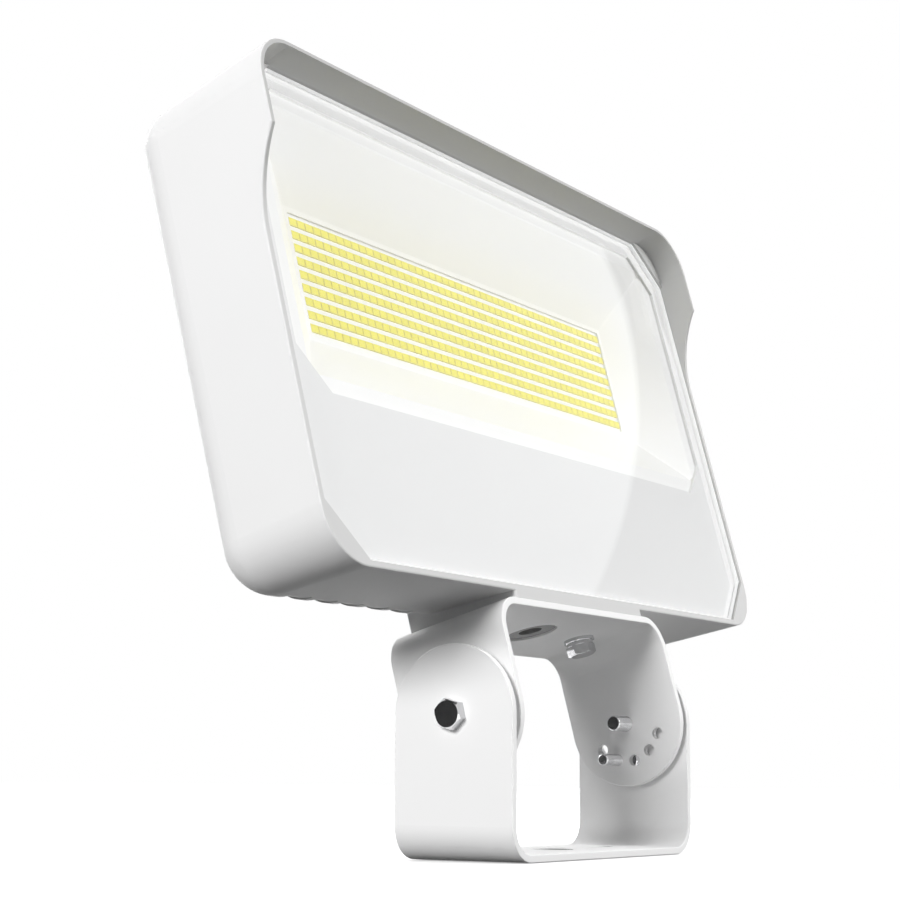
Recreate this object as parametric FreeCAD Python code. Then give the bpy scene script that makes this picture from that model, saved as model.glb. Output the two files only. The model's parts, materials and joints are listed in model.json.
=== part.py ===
import FreeCAD, Part
import math
import os
from FreeCAD import Rotation, Vector

# LED flood light on a tilting trunnion. Millimetres, +Z up, +Y to the back, X along the tilt axis.
# The origin is the centre of the trunnion's underside, the face that is bolted down.
# Pieces of the head are drawn upright about the tilt axis, then tilted back and lifted to the pivot.

# Tilt
rest_tilt = 15.0
tilt_down = 75.0
tilt_up = 45.0
pivot_height = 66.5

# Bent plate of the trunnion and of the head's arms
sheet = 3.5
bend_radius = 16.0
strip_width = 65.0
arm_span = 154.2
arm_reach = 48.3
edge_round = 0.5
base_bore = 22.0
slot_spacing = 96.0
slot_width = 9.0
slot_length = 20.0

# Pivot and its fasteners
running_gap = 0.05
thread_gap = 0.05
bolt_gap = 0.2
spacer_length = 3.5
spacer_diameter = 24.0
pivot_bolt = 8.0
pivot_tip = 13.5
pivot_head_turn = -14.0
insert_diameter = 11.0
lock_bolt = 6.0
lock_tip = 16.0
lock_circle = 39.2
lock_step = 30.0
lock_slot_gap = 0.4
lock_washer_diameter = 11.0
lock_washer_thickness = 1.6

# Hexagon heads, across flats and height
large_hex = 13.0
large_hex_height = 5.3
small_hex = 10.0
small_hex_height = 4.0

# Proportions of bolt and screw heads: flats and sockets as shares of the head, tips of the thread
hex_crown_share = 0.95
hex_crown_angle = 30.0
bolt_tip_share = 0.15
pan_crown_share = 0.7
pan_shoulder_share = 0.5
pan_socket_share = 0.45
pan_socket_width_share = 0.12
pan_socket_depth_share = 0.4
terminal_slot_share = 0.2

# Fasteners of the arms and the cable entry
arm_bolt = 8.0
arm_bolt_spacing = 96.0
arm_bolt_grip = 12.0
tap_allowance = 2.0
washer_diameter = 16.0
washer_thickness = 1.6
spring_washer_thickness = 2.0
spring_washer_diameter = 14.0
spring_washer_slit = 1.0
entry_hole = 27.2
entry_bore = 21.0
bushing_bore = 12.0
bushing_flange = 2.5
bushing_gap = 0.15

# Lens stack, front to back
lens_reach = 31.3
lens_width = 400.0
lens_height = 240.0
lens_chamfer = 24.7
lens_thickness = 3.0
lens_gap = 0.4
lens_recess = 1.0
lens_arris = 0.6
mask_thickness = 0.3
mask_border = 7.6
mask_top_border = 8.6
window_height = 153.0
window_chamfer = 20.0
gasket_thickness = 1.5
gasket_width = 6.0

# Housing
rim_wall = 3.1
lip_wall = 2.4
hood_reach = 15.2
hood_depth = 48.9
hood_blend = 79.8
front_round = 0.8
top_corner = 25.0
bottom_corner = 26.0
draft = 3.7
body_depth = 68.9
back_lean = 1.0
back_round = 20.0
neck_drop = 3.6
neck_width = 124.6
neck_depth = 62.8
neck_round = 2.0

# Compartments
bay_floor = 14.1
bay_side = 15.0
driver_bay = 64.0
driver_bay_depth = 58.3
bay_divider = 4.0
flange_step = 5.0
flange_chamfer = 10.0
bay_margin = 8.0

# Heat sink
sink_wall = 5.0
fin_pitch = 19.4
fin_thickness = 5.0
fin_count = 19
fin_foot = 8.0
groove_depth = 2.4

# LED board
led_columns = 48
led_rows = 9
led_pitch = 6.12
led_row_pitch = 6.89
led_length = 5.7
led_width = 4.0
led_height = 0.8
led_setback = 24.7
led_offset = -3.25
board_thickness = 1.6
board_side_gap = 16.8
board_end = 17.3
pad_thickness = 0.5
board_screw = 3.0
board_screw_head = 5.5
board_screw_head_height = 1.6
board_screw_edge = 4.5
board_screw_columns = 4
board_screw_bite = 3.0

# Reflector
reflector_sheet = 1.0
reflector_wall = 1.5
reflector_lip = 2.8
reflector_lip_thickness = 0.7
reflector_fit = 0.3
reflector_gap = 1.7
reflector_lift = 0.4
opening_side = 0.8
opening_end = 2.3

# Driver, its leads and the terminal block
driver_length = 140.0
driver_height = 54.0
driver_thickness = 38.0
driver_side_gap = 3.0
driver_ear = 12.0
driver_ear_thickness = 3.0
driver_round = 3.0
driver_screw = 4.0
driver_screw_head = 7.0
driver_screw_head_height = 2.5
driver_screw_bite = 5.0
driver_screw_spread = 36.0
lead_diameter = 1.8
lead_spacing = 3.2
lead_bend = 10.0
lead_run = 47.0
lead_height = 1.5
lead_exit_above = 6.0
grommet_wall = 0.9
grommet_gap = 0.1
connector_length = 14.0
connector_width = 5.0
connector_height = 2.4
connector_edge = 1.0
terminal_length = 40.0
terminal_height = 20.0
terminal_depth = 14.0
terminal_left = 110.0
terminal_poles = 3
terminal_screw = 6.0
terminal_screw_height = 1.0

# Worked-out places along X
arm_inner = arm_span / 2
arm_outer = arm_inner + sheet
leg_inner = arm_outer + running_gap + spacer_length
leg_outer = leg_inner + sheet

# Worked-out places along Y in the head, front to back
lens_front = -lens_reach
rim_front = lens_front - lens_recess
lip_front = rim_front - hood_reach
lens_back = lens_front + lens_thickness
mask_back = lens_back + mask_thickness
ledge = mask_back + gasket_thickness
flange_seat = ledge + reflector_sheet
led_front = lens_front + led_setback
board_front = led_front + led_height
board_back = board_front + board_thickness
led_floor = board_back + pad_thickness
fin_root = led_floor + sink_wall
gap_half = (fin_pitch - fin_thickness) / 2
driver_floor = rim_front + driver_bay_depth
back_middle = rim_front + body_depth
neck_front = rim_front
neck_back = neck_front + neck_depth
lead_plane = board_front - lead_height

# Worked-out places along Z in the head, bottom to top
plate_top = arm_reach
plate_bottom = plate_top - sheet
body_bottom = plate_top + neck_drop
lens_bottom = body_bottom + rim_wall + lens_gap
lens_top = lens_bottom + lens_height
lens_middle = (lens_bottom + lens_top) / 2
body_top = lens_top + lens_gap + rim_wall
window_top = lens_top - mask_top_border
window_bottom = window_top - window_height
driver_bay_bottom = body_bottom + bay_floor
driver_bay_top = driver_bay_bottom + driver_bay
led_bay_bottom = driver_bay_top + bay_divider
led_bay_top = lens_top - bay_margin
led_middle = (led_bay_bottom + led_bay_top) / 2 + led_offset
driver_middle = (driver_bay_bottom + driver_bay_top) / 2

# Worked-out half widths in the head
body_half = lens_width / 2 + lens_gap + rim_wall
led_bay_half = lens_width / 2 - bay_margin
driver_bay_half = lens_width / 2 - bay_side
driver_right = driver_bay_half - driver_side_gap - driver_ear
driver_left = driver_right - driver_length
lead_x = driver_left - lead_run
field_half_width = ((led_columns - 1) * led_pitch + led_length) / 2
field_half_height = ((led_rows - 1) * led_row_pitch + led_width) / 2
board_half_width = led_bay_half - flange_step - board_side_gap
board_half_height = field_half_height + board_end

# The lock bolt sits in the arm's first hole behind the lowest one; its slot follows the whole tilt.
lock_angle = lock_step
slot_start = lock_angle - tilt_up
slot_stop = lock_angle + tilt_down

AXIS_X = Vector(1, 0, 0)
AXIS_Y = Vector(0, 1, 0)
AXIS_Z = Vector(0, 0, 1)
CENTRE = Vector(0, 0, 0)


def block(x, y, z):
    """Box between two values on each axis."""
    return Part.makeBox(x[1] - x[0], y[1] - y[0], z[1] - z[0], Vector(x[0], y[0], z[0]))


def rod(diameter, start, direction, length):
    """Round bar from a point along a direction."""
    return Part.makeCylinder(diameter / 2, length, start, direction)


def turned(profile):
    """Solid of revolution about Z from points of radius and height."""
    points = [Vector(radius, 0, height) for radius, height in profile]
    face = Part.Face(Part.makePolygon(points + points[:1]))
    return face.revolve(CENTRE, AXIS_Z, 360)


def aimed(shape, place, direction):
    """Copy of a shape drawn along Z, turned to a direction and moved to a place."""
    copy = shape.copy()
    copy.Placement = FreeCAD.Placement(place, Rotation(AXIS_Z, direction))
    return copy


def moved(shape, x, y, z):
    """Copy of a shape, moved."""
    copy = shape.copy()
    copy.translate(Vector(x, y, z))
    return copy


def prism(points, sweep):
    """Polygon swept along a vector."""
    return Part.Face(Part.makePolygon(points + points[:1])).extrude(sweep)


def rounded_wire(y, half_width, bottom, top, bottom_radius, top_radius):
    """Upright rectangle with round corners, in the plane at y."""
    low = half_width - bottom_radius
    high = half_width - top_radius
    corners = [
        (-low, bottom + bottom_radius, bottom_radius, 180),
        (low, bottom + bottom_radius, bottom_radius, 270),
        (high, top - top_radius, top_radius, 0),
        (-high, top - top_radius, top_radius, 90),
    ]
    arcs = []
    for x, z, radius, start in corners:
        stops = [math.radians(start + turn) for turn in (0, 45, 90)]
        places = [Vector(x + radius * math.cos(a), y, z + radius * math.sin(a)) for a in stops]
        arcs.append(Part.Arc(*places).toShape())
    edges = []
    for arc, following in zip(arcs, arcs[1:] + arcs[:1]):
        leave = arc.valueAt(arc.LastParameter)
        join = following.valueAt(following.FirstParameter)
        edges += [arc, Part.makeLine(leave, join)]
    return Part.Wire(edges)


def body_wire(y, inset):
    """Housing outline at y, drawn in by an inset from its size at the rim."""
    return rounded_wire(y, body_half - inset, body_bottom + inset, body_top - inset,
                        bottom_corner - inset, top_corner - inset)


def chamfered_plate(front, back, half_width, bottom, top, chamfer):
    """Upright plate with cut corners, between two places along Y."""
    points = []
    for x_side, z_side, x_first in ((-1, -1, 0), (1, -1, 1), (1, 1, 0), (-1, 1, 1)):
        z = bottom if z_side < 0 else top
        along_x = Vector(x_side * (half_width - chamfer), front, z)
        along_z = Vector(x_side * half_width, front, z - z_side * chamfer)
        points += [along_x, along_z] if x_first else [along_z, along_x]
    return prism(points, Vector(0, back - front, 0))


def frustum(front, front_size, back, back_size):
    """Four-sided taper between two upright rectangles, each half width, bottom and top."""
    wires = []
    for y, (half, bottom, top) in ((front, front_size), (back, back_size)):
        corners = ((-half, bottom), (half, bottom), (half, top), (-half, top))
        points = [Vector(x, y, z) for x, z in corners]
        wires.append(Part.makePolygon(points + points[:1]))
    return Part.makeLoft(wires, True, True)


def hex_bolt(diameter, across_flats, head_height, length, head_turn=0.0):
    """Bolt along Z: the head is below zero, the shank above, with a chamfered tip."""
    corner = across_flats / math.sqrt(3)
    crown = hex_crown_share * across_flats / 2
    slope = (corner - crown) * math.tan(math.radians(hex_crown_angle))
    turns = [math.radians(60 * side + head_turn) for side in range(6)]
    ring = [Vector(corner * math.cos(turn), corner * math.sin(turn), -head_height) for turn in turns]
    head = prism(ring, Vector(0, 0, head_height))
    crowned = turned([(0, -head_height), (crown, -head_height), (corner, slope - head_height),
                      (corner, 0), (0, 0)])
    radius = diameter / 2
    tip = bolt_tip_share * diameter
    shank = turned([(0, -head_height / 2), (radius, -head_height / 2), (radius, length - tip),
                    (radius - tip, length), (0, length)])
    return head.common(crowned).fuse(shank).removeSplitter()


def pan_screw(diameter, head_diameter, head_height, bite):
    """Pan-head screw along Z: the head is below zero, the thread above."""
    head = head_diameter / 2
    shank = diameter / 2
    profile = [(0, -head_height), (pan_crown_share * head, -head_height),
               (head, -pan_shoulder_share * head_height), (head, 0), (shank, 0), (shank, bite), (0, bite)]
    reach = pan_socket_share * head
    half = pan_socket_width_share * head
    depth = pan_socket_depth_share * head_height
    slot = block((-reach, reach), (-half, half), (-head_height, depth - head_height))
    cross = slot.copy()
    cross.rotate(CENTRE, AXIS_Z, 90)
    return turned(profile).cut(slot.fuse(cross))


def washer(hole, diameter, thickness):
    """Flat ring on Z zero."""
    return turned([(hole / 2, 0), (diameter / 2, 0), (diameter / 2, thickness), (hole / 2, thickness)])


def arc_slot(radius, width, start, stop, depth):
    """Slot along X that follows an arc about the pivot; angles run from straight down towards the back."""
    def place(distance, angle):
        turn = math.radians(angle)
        return Vector(0, distance * math.sin(turn), -distance * math.cos(turn))

    half = width / 2
    middle = (start + stop) / 2
    cap = math.degrees(half / radius)
    outer = Part.Arc(place(radius + half, start), place(radius + half, middle), place(radius + half, stop))
    end = Part.Arc(place(radius + half, stop), place(radius, stop + cap), place(radius - half, stop))
    inner = Part.Arc(place(radius - half, stop), place(radius - half, middle), place(radius - half, start))
    begin = Part.Arc(place(radius - half, start), place(radius, start - cap), place(radius + half, start))
    wire = Part.Wire([piece.toShape() for piece in (outer, end, inner, begin)])
    return Part.Face(wire).extrude(Vector(depth, 0, 0))


def trunnion(half_outside, reach):
    """U bent from plate: underside at zero, legs up to the pivot at reach, round about it."""
    half_inside = half_outside - sheet
    inner_bend = bend_radius - sheet
    tall = reach + strip_width
    deep = strip_width

    def rounded_channel(half, bottom, radius):
        solid = block((-half, half), (-deep, deep), (bottom, tall))
        edges = [e for e in solid.Edges if abs(e.CenterOfMass.x) > half - running_gap
                 and abs(e.CenterOfMass.z - bottom) < running_gap and abs(e.CenterOfMass.y) < running_gap]
        return solid.makeFillet(radius, edges)

    channel = rounded_channel(half_outside, 0, bend_radius)
    channel = channel.cut(rounded_channel(half_inside, sheet, inner_bend))
    half_strip = strip_width / 2
    strip = block((-half_outside, half_outside), (-half_strip, half_strip), (0, reach))
    ends = rod(strip_width, Vector(-half_outside, 0, reach), AXIS_X, 2 * half_outside)
    return channel.common(strip.fuse(ends).removeSplitter())


def softened(shape):
    """Plate with its long cut edges rounded over."""
    edges = [e for e in shape.Edges if e.Length > bend_radius]
    return shape.makeFillet(edge_round, edges)


def facing_pair(shape, x, outward):
    """A piece drawn along Z, set on the tilt axis left and right; outward is 1 or -1."""
    pair = [aimed(shape, Vector(side * x, 0, 0), side * outward * AXIS_X) for side in (-1, 1)]
    return Part.makeCompound(pair)


def tilted(shape):
    """Piece of the head at its tilt in the row's frame."""
    copy = shape.copy()
    copy.rotate(CENTRE, AXIS_X, -rest_tilt)
    copy.translate(Vector(0, 0, pivot_height))
    return copy


def raised(shape):
    """Piece drawn about the pivot that stays with the trunnion."""
    return moved(shape, 0, 0, pivot_height)


def lock_place(angle, x):
    """Point on the circle of locking holes, from straight down towards the back."""
    turn = math.radians(angle)
    radius = lock_circle / 2
    return Vector(x, radius * math.sin(turn), -radius * math.cos(turn))


def make_u_bracket():
    """Trunnion: pivot holes, the lock's arc slot, and the holes that fix it to a surface."""
    shape = softened(trunnion(leg_outer, pivot_height))
    pivot = Vector(-leg_outer, 0, pivot_height)
    shape = shape.cut(rod(pivot_bolt + 2 * bolt_gap, pivot, AXIS_X, 2 * leg_outer))
    slot = arc_slot(lock_circle / 2, lock_bolt + 2 * lock_slot_gap, slot_start, slot_stop, leg_outer)
    shape = shape.cut(moved(slot, arm_outer, 0, pivot_height))
    shape = shape.cut(rod(base_bore, CENTRE, AXIS_Z, sheet))
    straight = (slot_length - slot_width) / 2
    for side in (-1, 1):
        middle = side * slot_spacing / 2
        hole = block((middle - straight, middle + straight), (-slot_width / 2, slot_width / 2), (0, sheet))
        for end in (-straight, straight):
            hole = hole.fuse(rod(slot_width, Vector(middle + end, 0, 0), AXIS_Z, sheet))
        shape = shape.cut(hole)
    return shape


def make_arm_bracket():
    """Arms of the head: pivot inserts' seats, locking holes, cable hole and bolt holes."""
    shape = softened(trunnion(arm_outer, arm_reach))
    shape.rotate(CENTRE, AXIS_X, 180)
    shape.translate(Vector(0, 0, arm_reach))
    shape = shape.cut(rod(insert_diameter, Vector(-arm_outer, 0, 0), AXIS_X, 2 * arm_outer))
    for step in range(-2, 3):
        place = lock_place(step * lock_step, arm_inner)
        shape = shape.cut(rod(lock_bolt + 2 * thread_gap, place, AXIS_X, sheet))
    shape = shape.cut(rod(entry_hole, Vector(0, 0, plate_bottom), AXIS_Z, sheet))
    for side in (-1, 1):
        place = Vector(side * arm_bolt_spacing / 2, 0, plate_bottom)
        shape = shape.cut(rod(arm_bolt + 2 * bolt_gap, place, AXIS_Z, sheet))
    return shape


def make_pivot_bolts():
    """One bolt through each leg into the arm's insert."""
    length = leg_outer - arm_inner + pivot_tip
    bolt = hex_bolt(pivot_bolt, large_hex, large_hex_height, length, pivot_head_turn)
    return facing_pair(bolt, leg_outer, -1)


def make_pivot_spacers():
    """Spacers that keep the arms clear of the legs."""
    ring = washer(pivot_bolt + 2 * bolt_gap, spacer_diameter, spacer_length)
    return facing_pair(ring, leg_inner, -1)


def make_pivot_inserts():
    """Threaded inserts pressed flush into the arms."""
    ring = washer(pivot_bolt + 2 * running_gap, insert_diameter, sheet)
    return facing_pair(ring, arm_inner, 1)


def make_lock_bolt():
    """Bolt that clamps the tilt through the arc slot."""
    seat = leg_outer + running_gap + lock_washer_thickness
    bolt = hex_bolt(lock_bolt, small_hex, small_hex_height, seat - arm_inner + lock_tip)
    return aimed(bolt, lock_place(lock_angle, seat), -AXIS_X)


def make_lock_washer():
    """Washer of the lock bolt, on the leg's outside."""
    ring = washer(lock_bolt + 2 * thread_gap, lock_washer_diameter, lock_washer_thickness)
    return aimed(ring, lock_place(lock_angle, leg_outer + running_gap), AXIS_X)


def stack_under_plate(piece, drop):
    """A piece drawn along Z under both arm bolts, a drop below the plate."""
    height = plate_bottom - drop
    reach = arm_bolt_spacing / 2
    return Part.makeCompound([moved(piece, side * reach, 0, height) for side in (-1, 1)])


def make_arm_washers():
    """Flat washers against the plate."""
    ring = washer(arm_bolt + 2 * bolt_gap, washer_diameter, washer_thickness)
    return stack_under_plate(ring, washer_thickness)


def make_arm_spring_washers():
    """Split spring washers under the bolt heads."""
    ring = washer(arm_bolt + 2 * bolt_gap, spring_washer_diameter, spring_washer_thickness)
    half_slit = spring_washer_slit / 2
    slit = block((0, spring_washer_diameter), (-half_slit, half_slit), (0, spring_washer_thickness))
    return stack_under_plate(ring.cut(slit), washer_thickness + spring_washer_thickness)


def make_arm_bolts():
    """Bolts that hang the arms from the housing's neck."""
    drop = washer_thickness + spring_washer_thickness
    bolt = hex_bolt(arm_bolt, large_hex, large_hex_height, drop + sheet + arm_bolt_grip)
    return stack_under_plate(bolt, drop)


def make_entry_bushing():
    """Rubber bushing where the cable goes up into the neck."""
    top = driver_bay_bottom
    outer = entry_bore / 2 - bushing_gap
    flange = entry_hole / 2 - bushing_gap
    inner = bushing_bore / 2
    foot = plate_top - bushing_flange
    return turned([(inner, foot), (flange, foot), (flange, plate_top),
                   (outer, plate_top), (outer, top), (inner, top)])


def body_inset(y):
    """How far the draft draws the outline in at y."""
    return (y - rim_front) * math.tan(math.radians(draft))


def back_at(z):
    """Place of the leaning back at a height."""
    return back_middle + (z - lens_middle) * math.tan(math.radians(back_lean))


def flat_sided(solid):
    """The same solid with each flat side made a true plane."""
    faces = [Part.Face(face.OuterWire) if face.findPlane() else face for face in solid.Faces]
    shell = Part.makeShell(faces)
    shell.sewShape()
    return Part.Solid(shell)


def housing_blank():
    """Drafted outer body with a leaning back and a large round-over behind."""
    far = back_at(body_top) + back_round
    wires = [body_wire(lip_front, body_inset(lip_front)), body_wire(far, body_inset(far))]
    blank = flat_sided(Part.makeLoft(wires, True, True))
    low = Vector(-lens_width, back_at(-lens_height), -lens_height)
    high = Vector(-lens_width, back_at(2 * lens_height), 2 * lens_height)
    behind = Vector(0, lens_width, 0)
    blank = blank.cut(prism([low, high, high + behind, low + behind], Vector(2 * lens_width, 0, 0)))
    flat_back = max(blank.Faces, key=lambda face: face.CenterOfMass.y)
    return blank.makeFillet(back_round, flat_back.Edges)


def hood_cut():
    """What is taken off in front of the rim: the hood stays above, and blends down each side."""
    blend_top = body_top - hood_depth
    rise = math.sqrt(hood_blend ** 2 - (hood_blend - hood_reach) ** 2)
    blend_bottom = blend_top - rise
    half_turn = math.asin(rise / hood_blend) / 2
    swell = hood_blend * (1 - math.cos(half_turn))
    middle = Vector(0, rim_front - swell, blend_bottom + hood_blend * math.sin(half_turn))
    start = Vector(0, rim_front, blend_bottom)
    stop = Vector(0, lip_front, blend_top)
    outer = Vector(0, lip_front - hood_reach, 0)
    floor = Vector(0, rim_front, 0)
    above = Vector(0, lip_front - hood_reach, blend_top)
    blend = Part.Arc(start, middle, stop).toShape()
    edges = [Part.makeLine(floor, start), blend, Part.makeLine(stop, above),
             Part.makeLine(above, outer), Part.makeLine(outer, floor)]
    cut = Part.Face(Part.Wire(edges)).extrude(Vector(2 * lens_width, 0, 0))
    return moved(cut, -lens_width, 0, 0)


def rounded_front(body):
    """Body with the outer edge of its hood and rim rounded over."""
    sides = [e for e in body.Edges if e.CenterOfMass.y < rim_front + running_gap
             and e.BoundBox.XLength < body_half]
    top = [e for e in body.Edges if abs(e.CenterOfMass.y - lip_front) < running_gap
           and e.CenterOfMass.z > body_top - running_gap]
    return body.makeFillet(front_round, sides + top)


def gap_middles():
    """X of the middle of each gap between the fins."""
    return [(index - (fin_count - 2) / 2) * fin_pitch for index in range(fin_count - 1)]


def fin_gap(middle):
    """Gap between two fins: open above, with a sloping foot that sheds water."""
    foot = led_bay_bottom + flange_step + fin_foot
    far = back_middle + back_round
    run = far - fin_root
    above = body_top + rim_wall
    profile = ((fin_root, foot), (far, foot - run / 2), (far, above), (fin_root, above))
    points = [Vector(middle - gap_half, y, z) for y, z in profile]
    return prism(points, Vector(2 * gap_half, 0, 0))


def groove_band(middle):
    """Band of the back below the deep gaps, where the fins run on as low ribs."""
    foot = led_bay_bottom + flange_step + fin_foot
    start = back_at(body_bottom) - back_round
    return block((middle - gap_half, middle + gap_half), (start, back_middle + back_round),
                 (plate_bottom, foot))


def make_housing():
    """Cast housing: hood and rim, lens seat, two compartments, fins, grooves, neck and tapped holes."""
    blank = housing_blank()
    shell = blank.cut(blank.copy().translated(Vector(0, -groove_depth, 0)))
    grooves = Part.makeCompound([groove_band(middle) for middle in gap_middles()]).common(shell)
    body = rounded_front(blank.cut(hood_cut())).cut(grooves)
    body = body.cut(Part.makeCompound([fin_gap(middle) for middle in gap_middles()]))
    neck = block((-neck_width / 2, neck_width / 2), (neck_front, neck_back), (plate_top, driver_bay_bottom))
    uprights = [e for e in neck.Edges if e.BoundBox.ZLength > neck_round]
    body = body.fuse(neck.makeFillet(neck_round, uprights))
    hollow = [body_wire(lip_front, body_inset(lip_front) + lip_wall), body_wire(rim_front, rim_wall)]
    body = body.cut(flat_sided(Part.makeLoft(hollow, True, True)))
    body = body.cut(chamfered_plate(rim_front, ledge, lens_width / 2 + lens_gap, lens_bottom - lens_gap,
                                    lens_top + lens_gap, lens_chamfer))
    body = body.cut(chamfered_plate(ledge, flange_seat, led_bay_half, led_bay_bottom, led_bay_top,
                                    flange_chamfer))
    inner_half = led_bay_half - flange_step
    inner = (led_bay_bottom + flange_step, led_bay_top - flange_step)
    body = body.cut(block((-inner_half, inner_half), (flange_seat, led_floor), inner))
    body = body.cut(block((-driver_bay_half, driver_bay_half), (ledge, driver_floor),
                          (driver_bay_bottom, driver_bay_top)))
    body = body.cut(rod(entry_bore, Vector(0, 0, plate_top), AXIS_Z, driver_bay_bottom - plate_top))
    for side in (-1, 1):
        place = Vector(side * arm_bolt_spacing / 2, 0, plate_top)
        body = body.cut(rod(arm_bolt + 2 * thread_gap, place, AXIS_Z, arm_bolt_grip + tap_allowance))
    lead_hole = Vector(lead_x, lead_plane, driver_bay_top)
    body = body.cut(rod(grommet_diameter(), lead_hole, AXIS_Z, bay_divider + flange_step))
    for place in board_screw_places(led_floor):
        body = body.cut(rod(board_screw + 2 * thread_gap, place, AXIS_Y, board_screw_bite))
    for place in driver_screw_places(driver_floor):
        body = body.cut(rod(driver_screw + 2 * thread_gap, place, AXIS_Y, driver_screw_bite))
    return body


def make_lens():
    """Clear front glass with cut corners."""
    glass = chamfered_plate(lens_front, lens_back, lens_width / 2, lens_bottom, lens_top, lens_chamfer)
    edges = [e for e in glass.Edges if e.CenterOfMass.y < lens_front + running_gap]
    return glass.makeChamfer(lens_arris, edges)


def make_lens_mask():
    """White film behind the glass, with the light's window."""
    film = chamfered_plate(lens_back, mask_back, lens_width / 2, lens_bottom, lens_top, lens_chamfer)
    half = lens_width / 2 - mask_border
    return film.cut(chamfered_plate(lens_back, mask_back, half, window_bottom, window_top, window_chamfer))


def make_lens_gasket():
    """Silicone seal between the glass and the housing's ledge."""
    ring = chamfered_plate(mask_back, ledge, lens_width / 2, lens_bottom, lens_top, lens_chamfer)
    inside = chamfered_plate(mask_back, ledge, lens_width / 2 - gasket_width, lens_bottom + gasket_width,
                             lens_top - gasket_width, lens_chamfer)
    return ring.cut(inside)


def reflector_mouth():
    """Front rectangle of the reflector's slopes: half width, bottom and top."""
    flange = flange_step + reflector_wall + reflector_gap
    inset = reflector_fit + flange
    return led_bay_half - inset, led_bay_bottom + inset, led_bay_top - inset


def reflector_opening():
    """Rectangle round the LEDs at the foot of the slopes."""
    return (field_half_width + opening_side, led_middle - field_half_height - opening_end,
            led_middle + field_half_height + opening_end)


def grown(rectangle, margin):
    """Rectangle of half width, bottom and top, made larger all round."""
    half, bottom, top = rectangle
    return half + margin, bottom - margin, top + margin


def make_reflector():
    """White tray: a flange in the housing's step, four slopes and a flat lip round the LEDs."""
    foot = board_front - reflector_lift
    lip_top = foot - reflector_lip_thickness
    slope_foot = grown(reflector_opening(), reflector_lip)
    outside = frustum(ledge, grown(reflector_mouth(), reflector_wall),
                      foot, grown(slope_foot, reflector_wall))
    flange = chamfered_plate(ledge, flange_seat, led_bay_half - reflector_fit,
                             led_bay_bottom + reflector_fit, led_bay_top - reflector_fit, flange_chamfer)
    inside = frustum(ledge, reflector_mouth(), lip_top, slope_foot)
    opening = frustum(lip_top, reflector_opening(), foot, reflector_opening())
    return outside.fuse(flange).cut(inside.fuse(opening))


def make_thermal_pad():
    """Heat-conducting pad behind the board."""
    pad = block((-board_half_width, board_half_width), (board_back, led_floor),
                (led_middle - board_half_height, led_middle + board_half_height))
    for place in board_screw_places(board_back):
        pad = pad.cut(rod(board_screw + 2 * bolt_gap, place, AXIS_Y, pad_thickness))
    return pad


def make_led_board():
    """Metal-core board that carries the LEDs."""
    board = block((-board_half_width, board_half_width), (board_front, board_back),
                  (led_middle - board_half_height, led_middle + board_half_height))
    for place in board_screw_places(board_front):
        board = board.cut(rod(board_screw + 2 * bolt_gap, place, AXIS_Y, board_thickness))
    return board


def make_led_packages():
    """Rows of LED packages on the board."""
    left = -field_half_width
    top = led_middle + field_half_height
    packages = []
    for row in range(led_rows):
        for column in range(led_columns):
            x = left + column * led_pitch
            z = top - row * led_row_pitch
            packages.append(block((x, x + led_length), (led_front, board_front), (z - led_width, z)))
    return Part.makeCompound(packages)


def board_screw_places(y):
    """Points of the board's screws along both long edges."""
    reach = board_half_width - board_screw_edge
    step = 2 * reach / (board_screw_columns - 1)
    rise = board_half_height - board_screw_edge
    return [Vector(-reach + column * step, y, led_middle + side * rise)
            for side in (-1, 1) for column in range(board_screw_columns)]


def make_board_screws():
    """Screws that press the board on its pad."""
    screw = pan_screw(board_screw, board_screw_head, board_screw_head_height,
                      board_thickness + pad_thickness + board_screw_bite)
    return Part.makeCompound([aimed(screw, place, AXIS_Y) for place in board_screw_places(board_front)])


def make_board_connector():
    """Plug-in connector at the board's lower edge."""
    foot = led_middle - board_half_height + connector_edge
    half = connector_length / 2
    return block((lead_x - half, lead_x + half), (board_front - connector_height, board_front),
                 (foot, foot + connector_width))


def driver_screw_places(y):
    """Points of the driver's four screws."""
    columns = (driver_left - driver_ear / 2, driver_right + driver_ear / 2)
    rise = driver_screw_spread / 2
    return [Vector(x, y, driver_middle + side * rise) for x in columns for side in (-1, 1)]


def make_driver():
    """Potted LED driver with fixing ears."""
    half = driver_height / 2
    upright = (driver_middle - half, driver_middle + half)
    front = driver_floor - driver_thickness
    seat = driver_floor - driver_ear_thickness
    case = block((driver_left, driver_right), (front, driver_floor), upright)
    front_edges = [e for e in case.Edges if abs(e.CenterOfMass.y - front) < running_gap]
    case = case.makeFillet(driver_round, front_edges)
    ears = block((driver_left - driver_ear, driver_right + driver_ear), (seat, driver_floor), upright)
    shape = case.fuse(ears)
    for place in driver_screw_places(seat):
        shape = shape.cut(rod(driver_screw + 2 * bolt_gap, place, AXIS_Y, driver_ear_thickness))
    return shape


def make_driver_screws():
    """Screws through the driver's ears."""
    screw = pan_screw(driver_screw, driver_screw_head, driver_screw_head_height,
                      driver_ear_thickness + driver_screw_bite)
    seat = driver_floor - driver_ear_thickness
    return Part.makeCompound([aimed(screw, place, AXIS_Y) for place in driver_screw_places(seat)])


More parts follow.
